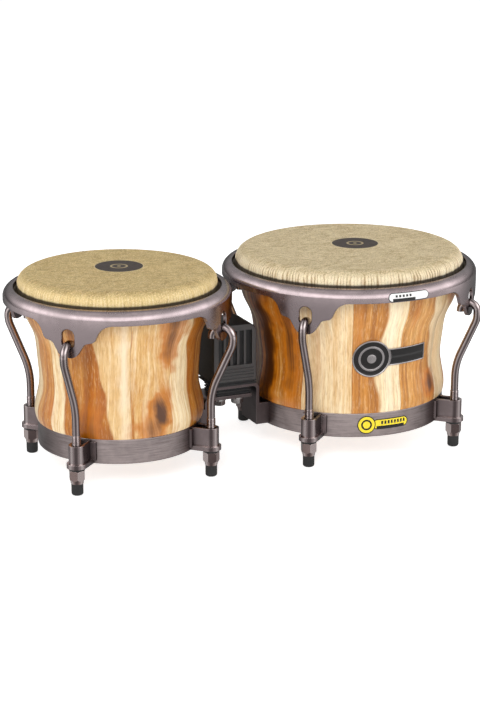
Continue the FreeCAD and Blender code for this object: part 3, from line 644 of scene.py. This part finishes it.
def cut_bar(start, end, half_height, steps=(16, 24)):
    """Outline of a level bar whose left end is hollowed to fit round a disc of radius start."""
    def shape(inset, share):
        high = (half_height - inset) * share
        far = end - inset
        heights = [high * (2 * i / steps[0] - 1) for i in range(steps[0])]
        left = [(math.sqrt((start + inset) ** 2 - y ** 2), y) for y in heights]
        corner = math.sqrt((start + inset) ** 2 - high ** 2)
        along = [(far - corner) * i / steps[1] for i in range(steps[1])]
        tops = [(corner + x, high) for x in along]
        bottoms = [(far - x, -high) for x in along]
        return left + tops + [(far, -y) for y in heights] + bottoms
    return shape


# ---------------------------------------------------------------- metals, rubber, plastic, labels
EDGE_RADIUS = 0.0006


def brush_lines(s, drum):
    """Fine level lines round a drum."""
    x, y, z = s.about(drum)
    around = s.math("MULTIPLY", s.math("ARCTAN2", y, x), RING_RADIUS[drum])
    return s.stretched(around, z, 0, (34, 900, None), 5, 0.8)


def painted_reflection_streaks(s, colour, count):
    """Painted reflection: dark and light stripes that depend on the side a surface faces; count is their
    number in a turn.
    """
    x, y, _ = s.split(s.node("NewGeometry", {}, "Normal"))
    side = s.math("SUBTRACT", s.math("ARCTAN2", y, x), math.radians(CAMERA_AZIMUTH - 90))
    wave = s.math("COSINE", s.math("MULTIPLY", side, count))
    return s.layers(colour, {"wave": wave}, (
        ("wave", -0.2, 1.0, 0.75, (60, 50, 50)), ("wave", -0.4, -1.0, 0.6, (226, 214, 212))))


def dark_nickel(name, tint, rough, brushed=None, streaks=0, painted_shade_heights=None):
    """Satin dark nickel plate: slight cloudiness, fine scratches, brighter worn edges, painted shade in
    crevices and on faces that look away from the view. A ring is brushed round its drum and painted darker
    towards its sides, straps, bars and nuts carry upright stripes of painted reflection, and a rim is painted
    darker low down as shade, blending between two heights."""
    s = Shade(name)
    spot = s.place()
    cloud = s.noise(spot, 38, 4, 0.6)
    fine = s.noise(spot, 900, 3, 0.6)
    worn, soft = s.edge(EDGE_RADIUS)
    colour = s.mix(s.between(cloud, 0.35, 0.65, 0.0, 0.6), srgb(*tint), dimmed(tint, 0.76))
    # painted shade: darker below the lower height, full tint above the higher one
    if painted_shade_heights:
        colour = s.mix(s.between(s.split(spot)[2], *painted_shade_heights), dimmed(tint, 0.8), colour)
    height = fine
    # painted shade: ambient occlusion darkens crevices and places close to other parts
    fields = {"worn": worn, "facing_away_shade": s.node("LayerWeight", {"Blend": 0.5}, "Facing"),
              "crevice_shade": s.node("AmbientOcclusion", {"Distance": 0.008}, "AO", samples=6)}
    # painted shade: faces that look away from the view are darkened
    table = [("worn", 0.02, 0.25, 0.4, (196, 186, 186)), ("facing_away_shade", 0.45, 1.0, 0.8, (46, 38, 38)),
             ("crevice_shade", 0.85, 0.30, 0.6, (40, 32, 30))]
    if brushed:
        fields["lines"] = brush_lines(s, brushed)
        height = s.math("ADD", s.math("MULTIPLY", fields["lines"], 1.5), s.math("MULTIPLY", fine, 0.3))
        # on a brushed ring that painted shade starts sooner, so the ring darkens towards its sides
        table[1:2] = [("lines", 0.50, 0.66, 0.5, (214, 200, 200)), ("lines", 0.50, 0.34, 0.5, (96, 84, 84)),
                      ("facing_away_shade", 0.09, 0.68, 0.8, (46, 38, 38))]
    colour = s.layers(colour, fields, table)
    # painted reflection: upright light and dark stripes by the side a face looks to
    if streaks:
        colour = painted_reflection_streaks(s, colour, streaks)
    roughness = s.between(cloud, 0.3, 0.7, rough - 0.05, rough + 0.07)
    roughness = s.math("ADD", roughness, s.math("MULTIPLY", fine, 0.06))
    s.set(Base_Color=colour, Metallic=1.0, Roughness=roughness, Normal=s.bump(height, 0.000008, soft))
    return s.material


def simple_metal(name, tint, rough):
    s = Shade(name)
    spot = s.place()
    cloud = s.noise(spot, 60, 4, 0.6)
    _, soft = s.edge(0.0005)
    colour = s.mix(s.between(cloud, 0.35, 0.65), srgb(*tint), dimmed(tint, 0.85))
    s.set(Base_Color=colour, Metallic=1.0, Roughness=s.between(cloud, 0.3, 0.7, rough - 0.04, rough + 0.06),
          Normal=s.bump(s.noise(spot, 1200, 2), 0.00001, soft))
    return s.material


def black_solid(name, tint, rough, grain_scale, grain_depth, edge_tint):
    """Rubber, plastic or black paint: a moulded texture, dust-grey wear on edges."""
    s = Shade(name)
    spot = s.place()
    grain = s.noise(spot, grain_scale, 4, 0.6)
    cloud = s.noise(spot, 45, 3)
    worn, soft = s.edge(EDGE_RADIUS)
    colour = s.mix(s.between(cloud, 0.3, 0.7), srgb(*tint), dimmed(tint, 1.35))
    colour = s.mix(s.between(worn, 0.02, 0.2, 0.0, 0.55), colour, srgb(*edge_tint))
    s.set(Base_Color=colour, Roughness=s.between(grain, 0.3, 0.7, rough - 0.06, rough + 0.08),
          Normal=s.bump(grain, grain_depth, soft))
    return s.material


def block_plastic():
    """Grey moulded plastic that is blacker in its sunk panel, with painted shade that makes its grooves and
    ends blacker, as they face away from the front and back.
    """
    s = Shade("block_plastic")
    low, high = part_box("centre_block")
    spot = s.place(((low.x + high.x) / 2, 0, 0))
    grain = s.noise(spot, 2200, 4, 0.6)
    worn, soft = s.edge(EDGE_RADIUS)
    deep = s.between(s.math("ABSOLUTE", s.split(spot)[1]), high.y - 0.0012, high.y - 0.0018)
    # painted shade: faces that don't face the front or back, such as groove walls and ends, are painted near
    # black
    facing = s.split(s.node("NewGeometry", {}, "Normal"))[1]
    facing_away_shade = s.between(s.math("ABSOLUTE", facing), 0.92, 0.7)
    colour = s.mix(s.math("MAXIMUM", deep, facing_away_shade), srgb(64, 62, 62), srgb(13, 12, 12))
    colour = s.mix(s.between(worn, 0.02, 0.2, 0.0, 0.4), colour, srgb(104, 106, 106))
    s.set(Base_Color=colour, Roughness=s.between(grain, 0.3, 0.7, 0.4, 0.52),
          Normal=s.bump(grain, 0.00005, soft))
    return s.material


def film(name, tint, rough, marks=None):
    """Printed film or enamel: smooth, with faint ripples. Marks are black areas of a plain pattern."""
    s = Shade(name)
    faint = s.noise(s.place(), 240, 3)
    colour = s.mix(s.between(faint, 0.35, 0.65, 0.0, 0.25), srgb(*tint), dimmed(tint, 0.9))
    if marks:
        colour = s.mix(marks(s), colour, srgb(22, 21, 21))
    s.set(Base_Color=colour, Roughness=rough, Normal=s.bump(faint, 0.00003))
    return s.material


def within(s, value, low, high):
    """1 between two values, 0 elsewhere."""
    return s.math("MULTIPLY", s.math("GREATER_THAN", value, low), s.math("LESS_THAN", value, high))


def label_marks(drum, radius, angle, height, field, bars, pitch):
    """Plain black marks of a label: a field along its lower edge, and upright bars above the field.
    Field and bars are (left, right, low, high) in millimetres from the label's middle."""
    def marks(s):
        x, y, z = s.about(drum, height)
        turn = s.math("SUBTRACT", s.math("ARCTAN2", y, x), math.radians(angle - 360))
        across = s.math("MULTIPLY", turn, radius / MM)
        up = s.math("DIVIDE", z, MM)
        lower = s.math("MULTIPLY", within(s, across, *field[:2]), within(s, up, *field[2:]))
        upper = s.math("MULTIPLY", within(s, across, *bars[:2]), within(s, up, *bars[2:]))
        comb = s.math("LESS_THAN", s.math("FRACT", s.math("DIVIDE", across, pitch)), 0.6)
        return s.math("MAXIMUM", lower, s.math("MULTIPLY", upper, comb))
    return marks


def ring_mark(middle, inner, outer):
    """A black ring round a point."""
    def marks(s):
        return within(s, s.length(s.place(middle)), inner, outer)
    return marks


# ---------------------------------------------------------------- pieces
def paint(node, *materials):
    """Gives a CAD node or a piece its materials."""
    target = node
    if isinstance(node, str):
        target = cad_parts[node]
        target.data.materials.clear()
    for material in materials:
        target.data.materials.append(material)


def stand_in(piece, node, slot, body, *materials):
    """Shows a piece in place of a CAD node, riding on its body."""
    paint(piece, *materials)
    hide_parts(node)
    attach(piece, body)


def build_heads():
    for drum in DRUMS:
        stand_in(make_head(drum), drum + "_head", "drum_skin", "root", skin(drum))


def badge_steps(border, high, raised, field):
    """A raised border, a plain ring and a boss, all standing out of a lower field."""
    steps = bordered(border, high, field, (0.9, 0.8, 0.74))[:-1]
    ring = [(0.72, raised, 0), (0.64, raised, 0), (0.62, field, 0)]
    flat = [(0.5, field, 1), (0.38, field, 1), (0.26, field, 1)]
    boss = [(0.24, raised, 0), (0.12, raised, 0), (0.0, raised, 0), (0.0, SEAT, 0)]
    return steps + [(border,) + step for step in ring + flat + boss]


def build_badges():
    """Plain round badge and name plate on the hembra's shell, each with a raised bright border."""
    enamel = film("black_enamel", (16, 13, 13), 0.42)
    silver = simple_metal("badge_silver", (188, 182, 182), 0.28)
    low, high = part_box("hembra_badge")
    radius = (high.z - low.z) / 2
    drape = Drape("hembra_shell", "hembra", BADGE_ANGLE, (low.z + high.z) / 2)
    low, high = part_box("hembra_name_plate")
    plate = cut_bar(radius + 0.0002, NAME_PLATE_END, (high.z - low.z) / 2)
    for name, shape, steps in (("badge", disc(radius), badge_steps(0.0013, 0.0015, 0.0013, 0.0011)),
                               ("name_plate", plate, bordered(0.0009, 0.0010, 0.0007))):
        stand_in(draped_plate(name, drape, shape, steps), "hembra_" + name, "badge", "root", silver, enamel)


def build_rim_label(black):
    """White wordless label on the hembra's rim."""
    low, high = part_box("hembra_rim_label")
    height = (low.z + high.z) / 2
    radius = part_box("hembra_rim")[1].x - CENTRE["hembra"].x
    marks = label_marks("hembra", radius, RIM_LABEL_ANGLE, height,
                        (-16, 6, -4, -0.9), (-14, 2, 0.2, 2.2), 3.4)
    white = film("label_white", (240, 240, 238), 0.3, marks)
    piece = draped_plate("rim_label", Drape("hembra_rim", "hembra", RIM_LABEL_ANGLE, height),
                         pill(0.0200, 0.0039), bordered(0.0006, 0.00025, 0.0002))
    stand_in(piece, "hembra_rim_label", "white_label", "hembra_rim_assembly", black, white)


def build_ring_label(black):
    """Yellow wordless label on the hembra's ring: a bar, and a disc that lies over its left end."""
    low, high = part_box("hembra_ring_label")
    height = (low.z + high.z) / 2
    radius = RING_RADIUS["hembra"]
    bars = label_marks("hembra", radius, BAR_ANGLE, height, (-14, 14, -5, -1.7), (-11, 15, -0.4, 2.9), 3.2)
    a = math.radians(DISC_ANGLE)
    middle = (CENTRE["hembra"].x + radius * math.cos(a), CENTRE["hembra"].y + radius * math.sin(a), height)
    for name, angle, shape, lift, marks in (
            ("ring_label_bar", BAR_ANGLE, pill(0.0180, 0.0048), 0.0, bars),
            ("ring_label_disc", DISC_ANGLE, disc(0.0084), 0.0001, ring_mark(middle, 0.0034, 0.0050))):
        steps = [(inset, share, proud + lift, material)
                 for inset, share, proud, material in bordered(0.0008, 0.00025, 0.0002)]
        piece = draped_plate(name, Drape("hembra_bottom_ring", "hembra", angle, height), shape, steps)
        stand_in(piece, "hembra_ring_label", "yellow_label", "root", black,
                 film(name, (244, 220, 40), 0.3, marks))


def build_labels():
    black = film("label_black", (18, 18, 18), 0.3)
    build_rim_label(black)
    build_ring_label(black)


def paint_nodes():
    """Materials of the CAD nodes that stay."""
    # the rim's lower band gets painted shade, blending from 150 to 168 mm
    plated = {"rim": dark_nickel("rim_nickel", (184, 168, 170), 0.2, painted_shade_heights=(0.150, 0.168)),
              "lug_brackets": dark_nickel("strap_nickel", (162, 146, 146), 0.26, streaks=5),
              # painted shade: the bridge brackets get a darker copy of the nickel, for the shade between the
              # drums
              "bridge_bracket": dark_nickel("bridge_nickel_shaded", (118, 106, 106), 0.3),
              "lug_washers": black_solid("washer_black", (22, 21, 21), 0.4, 900, 0.00002, (70, 66, 66)),
              "flesh_hoop": simple_metal("hoop_steel", (150, 150, 152), 0.35)}
    numbered = {"tuning_rod": dark_nickel("rod_nickel", (164, 150, 150), 0.2, streaks=7),
                "tuning_nut": dark_nickel("nut_nickel", (172, 150, 146), 0.26, streaks=4),
                "foot_cap": black_solid("foot_rubber", (26, 25, 25), 0.62, 1500, 0.00004, (58, 56, 56))}
    for drum, staves, knots in (("macho", MACHO_STAVES, MACHO_KNOTS),
                                ("hembra", HEMBRA_STAVES, HEMBRA_KNOTS)):
        paint(drum + "_shell", wood(drum, staves, knots))
        paint(drum + "_bottom_ring", dark_nickel(drum + "_ring_nickel", (200, 184, 182), 0.34, drum))
        for part, material in plated.items():
            paint(f"{drum}_{part}", material)
        for part, material in numbered.items():
            for i in range(1, LUGS_PER_DRUM + 1):
                paint(f"{drum}_{part}_{i}", material)
    nickel = simple_metal("bolt_nickel", (204, 200, 198), 0.2)
    pad = black_solid("pad_rubber", (24, 24, 25), 0.6, 1300, 0.00004, (52, 52, 54))
    for node, material in (("centre_block", block_plastic()), ("upper_rubber_pad", pad),
                           ("lower_rubber_pad", pad), ("bridge_bolts", nickel), ("bridge_washers", nickel)):
        paint(node, material)


# ---------------------------------------------------------------- stage, light and camera
FLOOR_SIZE = 14.0
# brightness of the world on matt surfaces and to the camera, where it has to come out white
WORLD_LIGHT = 0.34
WORLD_SEEN = 1.25
# each lamp: place, width and height in metres, watts
LAMPS = {"key": ((-1.15, -1.9, 1.55), 1.3, 0.9, 33), "top": ((0.1, 0.2, 2.1), 1.6, 1.6, 7),
         "right": ((2.0, -0.5, 0.9), 0.4, 1.6, 17), "left": ((-2.0, 0.1, 0.9), 0.4, 1.6, 9)}
LAMP_TARGET = (0, 0, 0.1)


def in_front(s, ahead):
    """How much of the studio's light a direction gets: all of it on the camera's side, little behind."""
    a = math.radians(CAMERA_AZIMUTH)
    camera_side = (math.sin(a), -math.cos(a), 0)
    towards = s.node("VectorMath", {0: ahead, 1: camera_side}, "Value", operation="DOT_PRODUCT")
    return s.between(towards, -0.8, 0.0, 0.22, 1.0)


def build_stage():
    """A white sweep. Shiny surfaces see it darker close to the drums, as a painted shadow, and darker behind
    them, as in a studio.
    """
    s = Shade("pale_floor")
    spot = s.place()
    ahead = s.node("VectorMath", {0: spot}, operation="NORMALIZE")
    # painted shadow: reflections see the floor darker within about 0.55 to 0.85 m of the middle
    mirrored_with_painted_shadow = s.math("MULTIPLY", s.between(s.length(spot), 0.55, 0.85, 0.55, 1.25), in_front(s, ahead))
    shiny = s.node("LightPath", {}, "Is Glossy Ray")
    s.set(Base_Color=s.mix(shiny, (0.9, 0.9, 0.9, 1), (0.02, 0.02, 0.02, 1)), Roughness=0.8,
          Specular_IOR_Level=0.0, Emission_Color=(1, 1, 1, 1),
          Emission_Strength=s.mix_value(shiny, 0.74, mirrored_with_painted_shadow))
    mesh = bmesh.new()
    bmesh.ops.create_grid(mesh, x_segments=8, y_segments=8, size=FLOOR_SIZE)
    floor = finish_mesh(mesh, "floor")
    floor.location.z = -0.5 * MM
    paint(floor, s.material)


def build_world():
    """Even soft light and a white backdrop, but shiny surfaces see softboxes above and in front, and a
    dark room behind."""
    world = bpy.data.worlds.new("studio")
    bpy.context.scene.world = world
    world.use_nodes = True
    s = Shade.inside(world.node_tree)
    ahead = s.node("TexCoord", {}, "Generated")
    up = s.split(ahead)[2]
    room = s.math("SUBTRACT", s.between(up, 0.0, 0.4, 0.6, 3.2), s.between(up, 0.5, 0.9, 0.0, 2.2))
    room = s.math("MULTIPLY", room, in_front(s, ahead))
    seen = s.node("LightPath", {}, "Is Camera Ray")
    shiny = s.node("LightPath", {}, "Is Glossy Ray")
    soft = s.mix_value(seen, WORLD_LIGHT, WORLD_SEEN)
    light = s.node("Background", {"Strength": s.mix_value(shiny, soft, room)})
    s.tree.links.new(light, s.tree.nodes["World Output"].inputs[0])


def build_lights():
    """Soft lamps that light matt surfaces only; shiny ones see the world's softboxes instead."""
    for name, (place, width, height, watts) in LAMPS.items():
        data = bpy.data.lights.new(name, "AREA")
        data.shape = "RECTANGLE"
        data.size = width
        data.size_y = height
        data.energy = watts
        lamp = bpy.data.objects.new(name, data)
        lamp.location = place
        lamp.rotation_mode = "QUATERNION"
        lamp.rotation_quaternion = (Vector(LAMP_TARGET) - Vector(place)).to_track_quat("-Z", "Y")
        lamp.visible_glossy = False
        bpy.context.scene.collection.objects.link(lamp)


def build_camera():
    """The photo's view, with colours shown as they are."""
    data = bpy.data.cameras.new("camera")
    data.lens = CAMERA_LENS
    data.sensor_width = CAMERA_FILM
    data.clip_end = 100
    camera = bpy.data.objects.new("camera", data)
    a = math.radians(CAMERA_AZIMUTH)
    e = math.radians(CAMERA_DOWN)
    ahead = Vector((-math.sin(a) * math.cos(e), math.cos(a) * math.cos(e), -math.sin(e)))
    camera.location = CAMERA_PLACE
    camera.rotation_mode = "QUATERNION"
    camera.rotation_quaternion = ahead.to_track_quat("-Z", "Y")
    bpy.context.scene.collection.objects.link(camera)
    bpy.context.scene.camera = camera
    bpy.context.scene.view_settings.view_transform = "Standard"


build_heads()
build_badges()
build_labels()
paint_nodes()
build_stage()
build_world()
build_lights()
build_camera()
